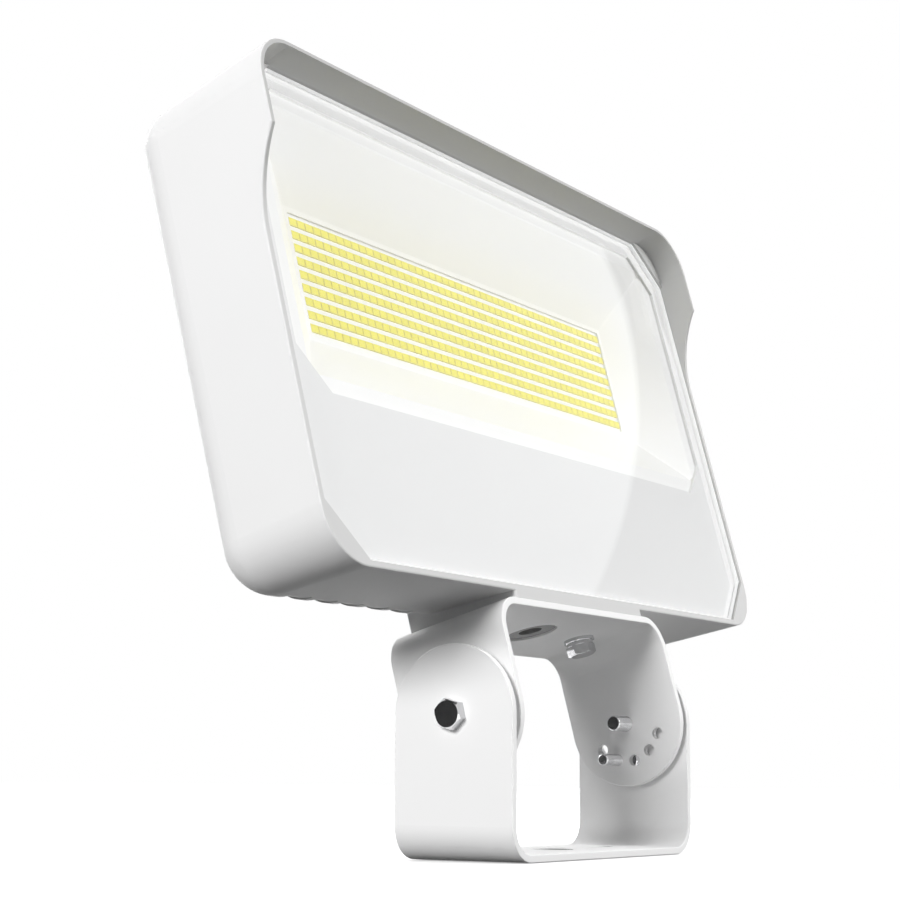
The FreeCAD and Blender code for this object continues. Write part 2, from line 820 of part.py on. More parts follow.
def make_driver_leads():
    """Two leads from the driver up to the board's connector."""
    stop = led_middle - board_half_height + connector_edge
    leads = []
    for side in (-1, 1):
        x = lead_x + side * lead_spacing / 2
        z = driver_middle + lead_exit_above + side * lead_spacing / 2
        start = Vector(driver_left, lead_plane, z)
        turn_in = Vector(x + lead_bend, lead_plane, z)
        eighth = lead_bend * (1 - math.sqrt(0.5))
        turn_middle = Vector(x + eighth, lead_plane, z + eighth)
        turn_out = Vector(x, lead_plane, z + lead_bend)
        path = Part.Wire([Part.makeLine(start, turn_in), Part.Arc(turn_in, turn_middle, turn_out).toShape(),
                          Part.makeLine(turn_out, Vector(x, lead_plane, stop))])
        section = Part.Wire(Part.makeCircle(lead_diameter / 2, start, -AXIS_X))
        leads.append(path.makePipeShell([section], True, False))
    return Part.makeCompound(leads)


def grommet_diameter():
    """Outside of the leads' grommet, which is the divider's hole."""
    inside = lead_spacing + lead_diameter + 2 * grommet_gap
    return inside + 2 * grommet_wall


def make_lead_grommet():
    """Rubber sleeve round the leads in the divider."""
    inside = grommet_diameter() - 2 * grommet_wall
    ring = washer(inside, grommet_diameter() - 2 * thread_gap, bay_divider + flange_step)
    return moved(ring, lead_x, lead_plane, driver_bay_top)


def make_terminal_block():
    """Terminal block for the supply, with a well for each pole's screw."""
    half = terminal_height / 2
    front = driver_floor - terminal_depth
    shape = block((-terminal_left, -terminal_left + terminal_length), (front, driver_floor),
                  (driver_middle - half, driver_middle + half))
    for place in terminal_places(front):
        shape = shape.cut(rod(terminal_screw + 2 * thread_gap, place, AXIS_Y, 2 * terminal_screw_height))
    return shape


def terminal_places(y):
    """Points of the terminal screws."""
    step = terminal_length / terminal_poles
    first = step / 2 - terminal_left
    return [Vector(first + pole * step, y, driver_middle) for pole in range(terminal_poles)]


def make_terminal_screws():
    """Slotted screws at the bottom of the terminal block's wells."""
    half = terminal_screw / 2
    screw = rod(terminal_screw, CENTRE, AXIS_Z, terminal_screw_height)
    half_slot = terminal_slot_share * half
    slot = block((-half, half), (-half_slot, half_slot), (0, terminal_screw_height / 2))
    seat = driver_floor - terminal_depth + terminal_screw_height
    return Part.makeCompound([aimed(screw.cut(slot), place, AXIS_Y) for place in terminal_places(seat)])


nodes = {
    "u_bracket": make_u_bracket(),
    "pivot_bolts": raised(make_pivot_bolts()),
    "pivot_spacers": raised(make_pivot_spacers()),
    "housing": tilted(make_housing()),
    "lens": tilted(make_lens()),
    "lens_mask": tilted(make_lens_mask()),
    "lens_gasket": tilted(make_lens_gasket()),
    "reflector": tilted(make_reflector()),
    "led_board": tilted(make_led_board()),
    "led_packages": tilted(make_led_packages()),
    "board_connector": tilted(make_board_connector()),
    "thermal_pad": tilted(make_thermal_pad()),
    "board_screws": tilted(make_board_screws()),
    "driver": tilted(make_driver()),
    "driver_screws": tilted(make_driver_screws()),
    "driver_leads": tilted(make_driver_leads()),
    "lead_grommet": tilted(make_lead_grommet()),
    "terminal_block": tilted(make_terminal_block()),
    "terminal_screws": tilted(make_terminal_screws()),
    "entry_bushing": tilted(make_entry_bushing()),
    "arm_bracket": tilted(make_arm_bracket()),
    "arm_bolts": tilted(make_arm_bolts()),
    "arm_washers": tilted(make_arm_washers()),
    "arm_spring_washers": tilted(make_arm_spring_washers()),
    "pivot_inserts": tilted(make_pivot_inserts()),
    "lock_bolt": tilted(make_lock_bolt()),
    "lock_washer": tilted(make_lock_washer()),
}

os.makedirs("parts", exist_ok=True)
for name, shape in nodes.items():
    shape.exportStep(os.path.join("parts", name + ".step"))
    box = shape.BoundBox
    print(name, len(shape.Solids), shape.isValid(), round(shape.Volume / 1000, 2), "cm3",
          [round(v, 1) for v in (box.XMin, box.XMax, box.YMin, box.YMax, box.ZMin, box.ZMax)])
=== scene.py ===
import json
import math

import bmesh
import bpy
from bpy.props import FloatProperty, FloatVectorProperty, IntProperty, PointerProperty
from bpy.types import Operator, Panel, PropertyGroup
from mathutils import Matrix, Vector


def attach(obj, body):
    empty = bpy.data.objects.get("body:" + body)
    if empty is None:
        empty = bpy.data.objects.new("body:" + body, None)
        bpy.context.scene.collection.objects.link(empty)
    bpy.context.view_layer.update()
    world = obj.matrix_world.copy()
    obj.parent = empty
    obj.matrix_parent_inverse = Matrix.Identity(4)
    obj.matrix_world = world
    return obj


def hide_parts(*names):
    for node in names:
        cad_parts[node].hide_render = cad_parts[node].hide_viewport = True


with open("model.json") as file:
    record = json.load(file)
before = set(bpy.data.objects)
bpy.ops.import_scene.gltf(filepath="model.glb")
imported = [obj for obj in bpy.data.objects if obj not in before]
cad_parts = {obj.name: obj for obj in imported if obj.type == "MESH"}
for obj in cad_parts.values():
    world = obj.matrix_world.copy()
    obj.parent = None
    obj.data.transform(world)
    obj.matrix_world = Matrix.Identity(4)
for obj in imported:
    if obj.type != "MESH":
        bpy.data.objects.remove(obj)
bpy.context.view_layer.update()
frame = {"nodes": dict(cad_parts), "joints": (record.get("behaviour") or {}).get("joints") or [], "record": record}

bl_info = {
    "name": "Tilting flood light",
    "version": (1, 0, 0),
    "blender": (4, 5, 0),
    "location": "View3D > Sidebar > Flood light",
    "description": "Dresses a white LED flood light on its trunnion and sets it on a plain stage",
    "category": "Object",
}

MM = 0.001
BLACK = (0.0, 0.0, 0.0, 1.0)
WHITE = (1.0, 1.0, 1.0, 1.0)
NODES = frame["nodes"]

# The head leans back about the tilt joint; its cable entry points straight down from it.
PIVOT = Vector(frame["joints"][0]["pos_m"])
ENTRY = next(mount for mount in frame["record"]["mounts"] if mount["name"] == "cable_entry")
HEAD_UP = -Vector(ENTRY["axis"])
LEAN = math.atan2(HEAD_UP.y, HEAD_UP.z)
HEAD = Matrix.Translation(PIVOT) @ Matrix.Rotation(-LEAN, 4, "X")
HEAD_FRONT = HEAD.to_3x3() @ Vector((0.0, -1.0, 0.0))

# Painted shade inside the hood, a darker coat where shade falls: how far faces look inwards or forwards, how far
# they stand ahead of the glass, how far down from its top the corners reach, and the share that edge, lip and
# corner have.
INWARD_FACES = (12 * MM, -18 * MM)
FORWARD_FACES = (0.6, 0.9)
AHEAD_OF_GLASS = (-1.5 * MM, -0.5 * MM)
LIP_AHEAD = (3 * MM, 10 * MM)
CORNER_DOWN = (40 * MM, 20 * MM)
EDGE_SHARE = 0.4
LIP_SHARE = 0.35
CORNER_SHARE = 0.55

# What a clear pane mirrors head on, and how fast that grows with the slant; then painted light: the glow of
# the pane's edges, the film, the tray and the board, and how far in from the film's edge its border glow reaches.
HEAD_ON_MIRROR = 0.04
SLANT_POWER = 5.0
PANE_SIDE_PAINTED_GLOW = 0.22
PANE_ARRIS_PAINTED_GLOW = 0.45
FILM_BORDER_PAINTED_GLOW = 0.34
FILM_EDGE_PAINTED_GLOW = 0.35
FILM_WALL_PAINTED_GLOW = 0.15
TRAY_AND_BOARD_PAINTED_GLOW = 0.06
FILM_BORDER = 2.5 * MM

# Faces of the pane and the film, told by how far they look to the front or up.
FLAT_FACE = 0.99
ARRIS_FACE = 0.3
WALL_FACE = 0.1
UPPER_WALL_FACE = 0.5

# Shares of the tray's depth, of the rows' pitch, of half a package and of a package's width and height;
# and how far the phosphor's crown is drawn in for its rise.
# From this share of the tray's depth the painted warm bounce of the yellow LEDs begins.
WARM_TRAY_FROM = 0.35
TRACK_EDGE = (0.40, 0.47)
PHOSPHOR_EDGE_ALONG = (0.80, 1.0)
PHOSPHOR_EDGE_ACROSS = (0.72, 1.0)
SOLDER_WIDTH = 0.7
SOLDER_HEIGHT = 1 / 3
CROWN_SLOPE = 6

# Meshes: how near points are joined or cut, and which edges stay sharp.
WELD = 0.001 * MM
CUT = 0.0001 * MM
RIM_SLACK = 0.01 * MM
FLAT_ANGLE = math.radians(0.5)
SHARP_ANGLE = math.radians(25)

# Thread: steps in a turn, then its depth and the ends of its flanks as shares of the pitch.
THREAD_STEPS = 28
THREAD_DEPTH = 0.18
THREAD_FLANKS = (0.06, 0.18, 0.82, 0.94)

# Stage, in metres: each lamp's place, the point it is aimed at, its width and its height; then the
# floor, the side card and the camera.
LAMPS = {
    "key": ((-2.24, -0.02, 0.78), (-0.2, 0.0, 0.25), 0.9, 0.6),
    "front": ((0.7, -2.0, 1.02), (0.0, 0.0, 0.25), 1.0, 0.7),
    "top": ((0.0, 0.3, 2.3), (0.0, 0.0, 0.2), 1.2, 1.2),
    "behind": ((1.0, 1.9, 1.1), (0.0, 0.0, 0.2), 1.2, 1.2),
}
FLOOR_HALF = 8.0
FLOOR_DROP = 0.3 * MM
SHADOW_REACH = (0.12, 0.40)
CARD_HALF = 1.5
CARD_BLUR = 2 * MM
CARD_GREYS = (0.55, 1.0)
SENSOR_MM = 36.0
NEAREST_SEEN = 0.01


def colour(name, description, default):
    """A colour that a user may change."""
    return FloatVectorProperty(name=name, description=description, default=default, subtype="COLOR",
                               size=3, min=0.0, max=1.0)


def length(name, description, millimetres):
    """A length that a user may change."""
    return FloatProperty(name=name, description=description, default=millimetres * MM, unit="LENGTH",
                         precision=5)


def share(name, description, default):
    """A number from nought to one that a user may change."""
    return FloatProperty(name=name, description=description, default=default, subtype="FACTOR",
                         min=0.0, max=1.0)


def power(name, description, watts):
    """A lamp's power that a user may change."""
    return FloatProperty(name=name, description=description, default=watts, unit="POWER")


def spot(name, description, default):
    """A place on the stage that a user may change."""
    return FloatVectorProperty(name=name, description=description, default=default, size=3,
                               subtype="TRANSLATION", precision=4)


class FloodLightFinish(PropertyGroup):
    """Colours of the flood light's materials."""

    powder: colour("Powder coat", "White coat of the casting", (0.83, 0.83, 0.83))
    # Painted shade: a darker colour inside the hood that stands in for the shade there.
    painted_hood_shade: colour("Inside of the hood", "Painted shade inside the hood", (0.475, 0.475, 0.47))
    sheet_powder: colour("Bracket coat", "White coat of the brackets", (0.95, 0.95, 0.95))
    film: colour("Film", "White film behind the front glass", (0.84, 0.84, 0.84))
    glass: colour("Glass", "Tint of what the front glass reflects", (0.96, 0.98, 0.98))
    glass_edge: colour("Glass edge", "Ground edge of the front glass", (0.84, 0.84, 0.84))
    seal: colour("Seal", "Silicone seal round the glass", (0.62, 0.62, 0.61))
    tray: colour("Tray", "White of the reflector tray", (0.95, 0.95, 0.945))
    # Painted warm bounce of the yellow LEDs on the tray above them.
    tray_warm: colour("Tray near the board", "Tray's tone above the LEDs", (0.94, 0.93, 0.86))
    board: colour("Board", "White solder mask of the LED board", (0.96, 0.96, 0.95))
    phosphor: colour("Phosphor", "Yellow of the LED phosphor", (0.92, 0.85, 0.085))
    phosphor_rim: colour("Phosphor rim", "Deeper yellow along the phosphor's edge", (0.80, 0.70, 0.06))
    led_frame: colour("LED frame", "Moulded frame of an LED package", (0.90, 0.83, 0.20))
    solder: colour("Solder", "Solder at the ends of an LED package", (0.85, 0.79, 0.36))
    steel: colour("Bolt steel", "Bright plating on bolts and washers", (0.58, 0.58, 0.59))
    ivory: colour("Ivory plastic", "Connector and terminal block", (0.80, 0.77, 0.68))
    pad: colour("Thermal pad", "Grey pad behind the board", (0.42, 0.44, 0.47))
    driver: colour("Driver case", "Dark case of the power supply", (0.10, 0.10, 0.11))
    lead: colour("Lead", "Insulation of the leads", (0.45, 0.03, 0.02))
    bushing: colour("Bushing", "Grey rubber of the cable's bushing", (0.26, 0.26, 0.26))
    rubber: colour("Rubber", "Black rubber of the leads' grommet", (0.03, 0.03, 0.03))
    brass: colour("Brass", "Terminal screws", (0.72, 0.53, 0.22))


class FloodLightSizes(PropertyGroup):
    """Sizes of the pieces modelled here."""

    led_columns: IntProperty(name="LED columns", description="LED packages in a row", default=48, min=2)
    led_rows: IntProperty(name="LED rows", description="Rows of LED packages", default=9, min=2)
    led_length: length("LED length", "Length of a package", 5.7)
    led_width: length("LED width", "Width of a package", 4.0)
    led_wall: length("LED wall", "Width of the moulded frame round the phosphor", 0.22)
    led_recess: length("LED recess", "Depth of the phosphor below the frame", 0.10)
    led_crown: length("LED crown", "Rise of the phosphor in its middle", 0.06)
    solder_reach: length("Solder reach", "How far solder stands out at each end of a package", 0.12)
    glass_corner: length("Glass corner", "How far the corners of glass and film are cut off", 24.7)
    film_gap: length("Film gap", "Air between the glass and the film", 0.05)
    film_bead: length("Film bead", "Bead behind the film round its window, down to the tray", 2.6)
    pivot_thread: length("Pivot thread", "Diameter of the pivot bolts' thread", 8.0)
    pivot_pitch: length("Pivot pitch", "Pitch of the pivot bolts' thread", 1.25)
    pivot_reach: length("Pivot reach", "Length of the pivot bolts' thread, from the tip", 14.5)
    lock_thread: length("Lock thread", "Diameter of the lock bolt's thread", 6.0)
    lock_pitch: length("Lock pitch", "Pitch of the lock bolt's thread", 1.0)
    lock_reach: length("Lock reach", "Length of the lock bolt's thread, from the tip", 17.0)


class FloodLightStage(PropertyGroup):
    """Floor, light and camera."""

    lens: FloatProperty(name="Focal length", description="Camera's focal length", default=76.67,
                        subtype="DISTANCE_CAMERA")
    eye: spot("Camera place", "Where the camera stands", (-0.8258, -0.4930, 0.0368))
    turn: FloatVectorProperty(name="Camera turn", description="Which way the camera looks", size=3,
                              default=(1.74119, -0.00570, -0.98069), subtype="EULER")
    floor: colour("Floor", "Colour of the floor as the camera sees it", (0.86, 0.86, 0.86))
    floor_bounce: colour("Floor bounce", "Floor's tone in light that it returns", (0.095, 0.095, 0.095))
    floor_lift: share("Floor lift", "Glow that takes the lit floor up to white", 0.40)
    ambient: share("Ambient", "Strength of the room's light from all round", 0.15)
    key: power("Key", "Power of the large softbox on the left", 44.5)
    front: power("Front", "Power of the softbox in front", 43.5)
    top: power("Top", "Power of the softbox overhead", 5.0)
    behind: power("Behind", "Power of the softbox behind, on the right", 36.0)
    card_middle: spot("Card", "Middle of the side card's round corner", (1.5, -0.906, 1.134))
    card_radius: length("Card corner", "Radius of the side card's round corner", 508.0)
    card_low: colour("Card's wall, low", "Grey beside the softbox, low down", (0.62, 0.62, 0.62))
    card_high: colour("Card's wall, high", "Grey beside the softbox, higher up", (0.16, 0.16, 0.17))
    flag: colour("Flag", "Tone of the dark cloths that the bolts mirror", (0.04, 0.04, 0.04))
    flag_place: spot("Flag place", "Middle of the dark cloth on the left", (-1.35, 0.92, 0.12))
    back_flag_place: spot("Back flag place", "Middle of the dark cloth behind", (-0.2, 1.6, 0.25))
    flag_half: length("Flag size", "Half the width of a dark cloth", 550.0)


class Shade:
    """A socket in a node tree: sums and products of it add Math nodes, and node() adds any other."""

    def __init__(self, tree, socket=None):
        self.tree = tree
        self.socket = socket

    def node(self, kind, settings=None, sockets=None, output=0):
        """Adds a node, makes its settings, fills or links its sockets, and gives one of its outputs."""
        made = self.tree.nodes.new(kind)
        for name, value in (settings or {}).items():
            setattr(made, name, value)
        for name, value in (sockets or {}).items():
            if isinstance(value, Shade):
                self.tree.links.new(value.socket, made.inputs[name])
            else:
                made.inputs[name].default_value = value
        return Shade(self.tree, made.outputs[output] if made.outputs else None)

    def math(self, operation, *values):
        """A Math node on some values."""
        return self.node("ShaderNodeMath", {"operation": operation}, dict(enumerate(values)))

    def __add__(self, other):
        return self.math("ADD", self, other)

    def __radd__(self, other):
        return self.math("ADD", other, self)

    def __sub__(self, other):
        return self.math("SUBTRACT", self, other)

    def __rsub__(self, other):
        return self.math("SUBTRACT", other, self)

    def __mul__(self, other):
        return self.math("MULTIPLY", self, other)

    def __rmul__(self, other):
        return self.math("MULTIPLY", other, self)


def new_finish(name):
    """An empty material and its node tree."""
    material = bpy.data.materials.new(name)
    material.use_nodes = True
    material.node_tree.nodes.clear()
    return material, Shade(material.node_tree)


def coat(shade, sockets):
    """Closes a material with one Principled surface."""
    surface = shade.node("ShaderNodeBsdfPrincipled", sockets=sockets)
    shade.node("ShaderNodeOutputMaterial", sockets={"Surface": surface})


def solid(value):
    """A colour property with its alpha."""
    return (*value, 1.0)


def scaled(value, factor):
    """A colour property made darker or lighter, with its alpha."""
    return (*[min(1.0, channel * factor) for channel in value], 1.0)


def vector_math(shade, operation, *values, output="Vector"):
    """A Vector Math node on some vectors."""
    return shade.node("ShaderNodeVectorMath", {"operation": operation}, dict(enumerate(values)), output)


def along_axis(shade, place, axis):
    """One of the three parts of a place."""
    return shade.node("ShaderNodeSeparateXYZ", sockets={"Vector": place}, output=axis)


def object_place(shade):
    """Place on the piece, in the row's frame."""
    return shade.node("ShaderNodeTexCoord", output="Object")


def head_place(shade):
    """Place on the head as it is when upright, measured from the pivot."""
    return shade.node("ShaderNodeMapping", {"vector_type": "TEXTURE"}, {
        "Vector": object_place(shade),
        "Location": PIVOT,
        "Rotation": (-LEAN, 0.0, 0.0),
    })


def noise(shade, place, size, detail=2.0):
    """Soft noise whose features are about one size across, from nought to one."""
    return shade.node("ShaderNodeTexNoise", sockets={
        "Vector": place, "Scale": 1.0 / size, "Detail": detail,
    })


def mixed(shade, factor, first, second):
    """Colour between two colours."""
    return shade.node("ShaderNodeMix", {"data_type": "RGBA"}, {0: factor, 6: first, 7: second}, output=2)


def bumped(shade, height, distance):
    """Normal that follows a height from nought to one, over a distance."""
    return shade.node("ShaderNodeBump", sockets={"Height": height, "Distance": distance, "Strength": 1.0})


def smooth_step(shade, value, low, high):
    """Nought below one value, one above another, smooth between."""
    return shade.node("ShaderNodeMapRange", {"interpolation_type": "SMOOTHSTEP"}, {
        "Value": value, "From Min": low, "From Max": high, "To Min": 0.0, "To Max": 1.0,
    })


def hood_shade_mask(shade):
    """Mask of the painted shade in the hood: one on faces ahead of the glass that look inwards, less on edges of
    hood and rim, else nought.
    """
    low, high = head_box("lens")
    place = head_place(shade)
    ahead = low.y - along_axis(shade, place, "Y")
    up = along_axis(shade, place, "Z")
    normal = shade.node("ShaderNodeTexCoord", output="Normal")
    middle = HEAD @ Vector(((low.x + high.x) / 2, low.y, (low.z + high.z) / 2))
    outwards = vector_math(shade, "SUBTRACT", object_place(shade), middle)
    inwards = shade.node("ShaderNodeMapRange", sockets={
        "Value": vector_math(shade, "DOT_PRODUCT", normal, outwards, output="Value"),
        "From Min": INWARD_FACES[0], "From Max": INWARD_FACES[1], "To Min": 0.0, "To Max": 1.0,
    })
    forwards = vector_math(shade, "DOT_PRODUCT", normal, HEAD_FRONT, output="Value")
    corner = smooth_step(shade, up, high.z - CORNER_DOWN[0], high.z - CORNER_DOWN[1])
    lip = smooth_step(shade, ahead, *LIP_AHEAD)
    edge_share = EDGE_SHARE + LIP_SHARE * lip + CORNER_SHARE * corner * (1 - lip)
    edge = smooth_step(shade, forwards, *FORWARD_FACES) * edge_share
    return smooth_step(shade, ahead, *AHEAD_OF_GLASS) * shade.math("MAXIMUM", inwards, edge)


def powder_coat(name, value, peel_size, peel_depth, hood_shade_value=None):
    """White powder coat: soft orange peel, fine grain, a little change in tone and gloss; given a hood shade,
    painted shade inside the hood.
    """
    material, shade = new_finish(name)
    place = object_place(shade)
    peel = noise(shade, place, size=peel_size, detail=1.0)
    grain = noise(shade, place, size=peel_size / 6)
    tone = noise(shade, place, size=70 * MM, detail=3.0)
    white = mixed(shade, tone, scaled(value, 0.985), scaled(value, 1.015))
    # Painted shade: a darker colour inside the hood where shade falls.
    if hood_shade_value is not None:
        white = mixed(shade, hood_shade_mask(shade), white, solid(hood_shade_value))
    coat(shade, {
        "Base Color": white,
        "Roughness": 0.52 + 0.10 * grain + 0.06 * tone,
        "Specular IOR Level": 0.12,
        "Normal": bumped(shade, peel * 0.7 + grain * 0.3, distance=peel_depth),
    })
    return material


def near_border(shade, corner):
    """Mask of the film's painted border glow: one along the film's sides, upper edge and upper cut corners, and
    nought a little way in.
    """
    high = head_box("lens_mask")[1]
    place = head_place(shade)
    across = shade.math("ABSOLUTE", along_axis(shade, place, "X"))
    up = along_axis(shade, place, "Z")
    past_sides = shade.math("MAXIMUM", across - high.x, up - high.z)
    past_corner = (across + up - (high.x + high.z - corner)) * math.sqrt(0.5)
    return smooth_step(shade, shade.math("MAXIMUM", past_sides, past_corner), -FILM_BORDER, 0.0)


def printed_film(name, value, glow, corner=None):
    """White print behind the glass, with a fine screen grain; a painted glow lifts all of it or its border."""
    material, shade = new_finish(name)
    place = head_place(shade)
    grain = noise(shade, place, size=0.35 * MM)
    tone = noise(shade, place, size=60 * MM)
    white = mixed(shade, tone * 0.6 + grain * 0.4, scaled(value, 0.985), scaled(value, 1.012))
    painted_light = white if corner is None else mixed(shade, near_border(shade, corner), BLACK, white)
    coat(shade, {
        "Base Color": white,
        "Roughness": 0.55 + 0.1 * grain,
        "Emission Color": painted_light,
        "Emission Strength": glow,
        "Normal": bumped(shade, grain, distance=0.01 * MM),
    })
    return material


def clear_glass(name, tint):
    """Clear pane: more mirror-like at a slant, with a trace of haze and smudges."""
    material, shade = new_finish(name)
    smudge = noise(shade, head_place(shade), size=45 * MM, detail=4.0)
    slant = shade.node("ShaderNodeLayerWeight", sockets={"Blend": 0.5}, output="Facing")
    mirror = HEAD_ON_MIRROR + (1 - HEAD_ON_MIRROR) * shade.math("POWER", slant, SLANT_POWER)
    coat(shade, {
        "Base Color": solid(tint),
        "Metallic": 1.0,
        "Roughness": 0.012 + 0.02 * smudge,
        "Alpha": mirror,
    })
    return material


def ground_edge(name, value, glow):
    """Ground edge of the pane, frosted, with a painted glow in its own tone."""
    material, shade = new_finish(name)
    grain = noise(shade, object_place(shade), size=0.25 * MM)
    tone = mixed(shade, grain, scaled(value, 0.94), scaled(value, 1.04))
    coat(shade, {
        "Base Color": tone,
        "Roughness": 0.5 + 0.15 * grain,
        "Emission Color": tone,
        "Emission Strength": glow,
        "Normal": bumped(shade, grain, distance=0.01 * MM),
    })
    return material


def silicone(name, value):
    """Matt grey seal."""
    material, shade = new_finish(name)
    grain = noise(shade, object_place(shade), size=0.6 * MM, detail=3.0)
    coat(shade, {
        "Base Color": mixed(shade, grain, scaled(value, 0.93), scaled(value, 1.05)),
        "Roughness": 0.6 + 0.15 * grain,
        "Normal": bumped(shade, grain, distance=0.03 * MM),
    })
    return material


def tray_white(name, value, warm):
    """White satin tray: warmer near the board above the LEDs as a painted warm bounce of their yellow, and a
    painted glow below them.
    """
    material, shade = new_finish(name)
    place = head_place(shade)
    low, high = head_box("reflector")
    first_row, last_row = (corner.z for corner in head_box("led_packages"))
    above = smooth_step(shade, along_axis(shade, place, "Z"), first_row, last_row)
    warm_from = low.y + WARM_TRAY_FROM * (high.y - low.y)
    near_board = above * smooth_step(shade, along_axis(shade, place, "Y"), warm_from, high.y)
    peel = noise(shade, place, size=1.2 * MM)
    tone = noise(shade, place, size=50 * MM)
    # Painted warm bounce near the board, and a painted glow that fades out up the rows.
    coat(shade, {
        "Base Color": mixed(shade, near_board * (0.85 + 0.15 * tone), solid(value), solid(warm)),
        "Roughness": 0.34 + 0.08 * peel,
        "Emission Color": mixed(shade, above, WHITE, BLACK),
        "Emission Strength": TRAY_AND_BOARD_PAINTED_GLOW,
        "Normal": bumped(shade, peel, distance=0.012 * MM),
    })
    return material


def led_grid(sizes):
    """Lowest and highest corner of all LED packages, and their pitch along and across the rows."""
    low, high = head_box("led_packages")
    pitch = (high.x - low.x - sizes.led_length) / (sizes.led_columns - 1)
    row_pitch = (high.z - low.z - sizes.led_width) / (sizes.led_rows - 1)
    return low, high, pitch, row_pitch


def board_white(name, value, sizes):
    """White solder mask with the faint relief of the copper under it, one track for each row, and a painted glow
    of its own white.
    """
    material, shade = new_finish(name)
    place = head_place(shade)
    low, _, _, row_pitch = led_grid(sizes)
    up = along_axis(shade, place, "Z")
    across = shade.math("PINGPONG", up - low.z - sizes.led_width / 2, row_pitch / 2)
    track = smooth_step(shade, across, TRACK_EDGE[0] * row_pitch, TRACK_EDGE[1] * row_pitch)
    grain = noise(shade, place, size=0.4 * MM)
    coat(shade, {
        "Base Color": mixed(shade, track * 0.7 + grain * 0.3, solid(value), scaled(value, 0.96)),
        "Roughness": 0.32 + 0.1 * grain,
        # Painted light: a faint glow of the board's own white.
        "Emission Color": solid(value),
        "Emission Strength": TRAY_AND_BOARD_PAINTED_GLOW,
        "Normal": bumped(shade, (1 - track) * 0.8 + grain * 0.2, distance=0.03 * MM),
    })
    return material


def led_cell(shade, sizes):
    """Place along and across an LED package from its middle, one at its edge, and a number of its own."""
    low, _, pitch, row_pitch = led_grid(sizes)
    corner = (low.x + sizes.led_length / 2 - pitch / 2, 0.0, low.z + sizes.led_width / 2 - row_pitch / 2)
    start = vector_math(shade, "SUBTRACT", head_place(shade), corner)
    step = vector_math(shade, "DIVIDE", start, (pitch, 1.0, row_pitch))
    cell = vector_math(shade, "FLOOR", step)
    within = vector_math(shade, "SUBTRACT", step, cell)
    chance = shade.node("ShaderNodeTexWhiteNoise", {"noise_dimensions": "3D"}, {"Vector": cell}, "Value")
    from_middle = [shade.math("ABSOLUTE", along_axis(shade, within, axis) - 0.5) for axis in ("X", "Z")]
    along = from_middle[0] * (2 * pitch / sizes.led_length)
    across = from_middle[1] * (2 * row_pitch / sizes.led_width)
    return along, across, chance


def phosphor(name, value, rim, sizes):
    """Yellow phosphor: grainy, deeper along its edge, and not quite alike from package to package."""
    material, shade = new_finish(name)
    along, across, chance = led_cell(shade, sizes)
    edge = shade.math("MAXIMUM", smooth_step(shade, along, *PHOSPHOR_EDGE_ALONG),
                      smooth_step(shade, across, *PHOSPHOR_EDGE_ACROSS))
    grain = noise(shade, head_place(shade), size=0.15 * MM)
    plain = mixed(shade, chance * 0.7 + grain * 0.3, scaled(value, 0.95), scaled(value, 1.04))
    coat(shade, {
        "Base Color": mixed(shade, edge * 0.6, plain, solid(rim)),
        "Roughness": 0.42 + 0.15 * grain,
        "Normal": bumped(shade, grain, distance=0.01 * MM),
    })
    return material


def moulded(name, value, grain_size, rough):
    """Moulded plastic or rubber with a fine eroded grain."""
    material, shade = new_finish(name)
    place = object_place(shade)
    grain = noise(shade, place, size=grain_size, detail=3.0)
    tone = noise(shade, place, size=25 * MM)
    coat(shade, {
        "Base Color": mixed(shade, tone * 0.5 + grain * 0.5, scaled(value, 0.93), scaled(value, 1.07)),
        "Roughness": rough + 0.12 * grain,
        "Normal": bumped(shade, grain, distance=0.02 * MM),
    })
    return material


def plated_metal(name, value, rough):
    """Plated metal with fine turning marks and a faint cloudiness."""
    material, shade = new_finish(name)
    place = object_place(shade)
    cloud = noise(shade, place, size=2.5 * MM, detail=3.0)
    marks = noise(shade, place, size=0.25 * MM)
    coat(shade, {
        "Base Color": mixed(shade, cloud, scaled(value, 0.86), scaled(value, 1.12)),
        "Metallic": 1.0,
        "Roughness": rough + 0.05 * cloud + 0.03 * marks,
        "Normal": bumped(shade, marks, distance=0.006 * MM),
    })
    return material


def head_box(node):
    """Lowest and highest corner of a node in the head's own upright frame."""
    back = HEAD.inverted()
    places = [back @ vertex.co for vertex in NODES[node].data.vertices]
    low = Vector([min(place[axis] for place in places) for axis in range(3)])
    high = Vector([max(place[axis] for place in places) for axis in range(3)])
    return low, high


def dress(material, *names):
    """Gives a material to nodes of the frame."""
    for name in names:
        NODES[name].material_slots[0].material = material


def smooth_by_angle(bm):
    """Smooth faces, with sharp edges left sharp."""
    for face in bm.faces:
        face.smooth = True
    for edge in bm.edges:
        edge.smooth = edge.calc_face_angle(0.0) < SHARP_ANGLE


def whole(bm):
    """All points, edges and faces of a mesh."""
    return bm.verts[:] + bm.edges[:] + bm.faces[:]


def points_of(geometry):
    """The points among what a mesh operator made."""
    return [item for item in geometry if isinstance(item, bmesh.types.BMVert)]


def close_ends(bm):
    """Fills the open ends of a mesh."""
    bmesh.ops.holes_fill(bm, edges=[edge for edge in bm.edges if edge.is_boundary], sides=0)


def merged_copy(node):
    """Copy of a node's mesh with its loose triangles joined to whole faces."""
    bm = bmesh.new()
    bm.from_mesh(NODES[node].data)
    bmesh.ops.remove_doubles(bm, verts=bm.verts, dist=WELD)
    bmesh.ops.dissolve_limit(bm, angle_limit=FLAT_ANGLE, verts=bm.verts, edges=bm.edges)
    return bm


def depth_of(vertex):
    """How far a point lies back from the front."""
    return vertex.co.dot(-HEAD_FRONT)


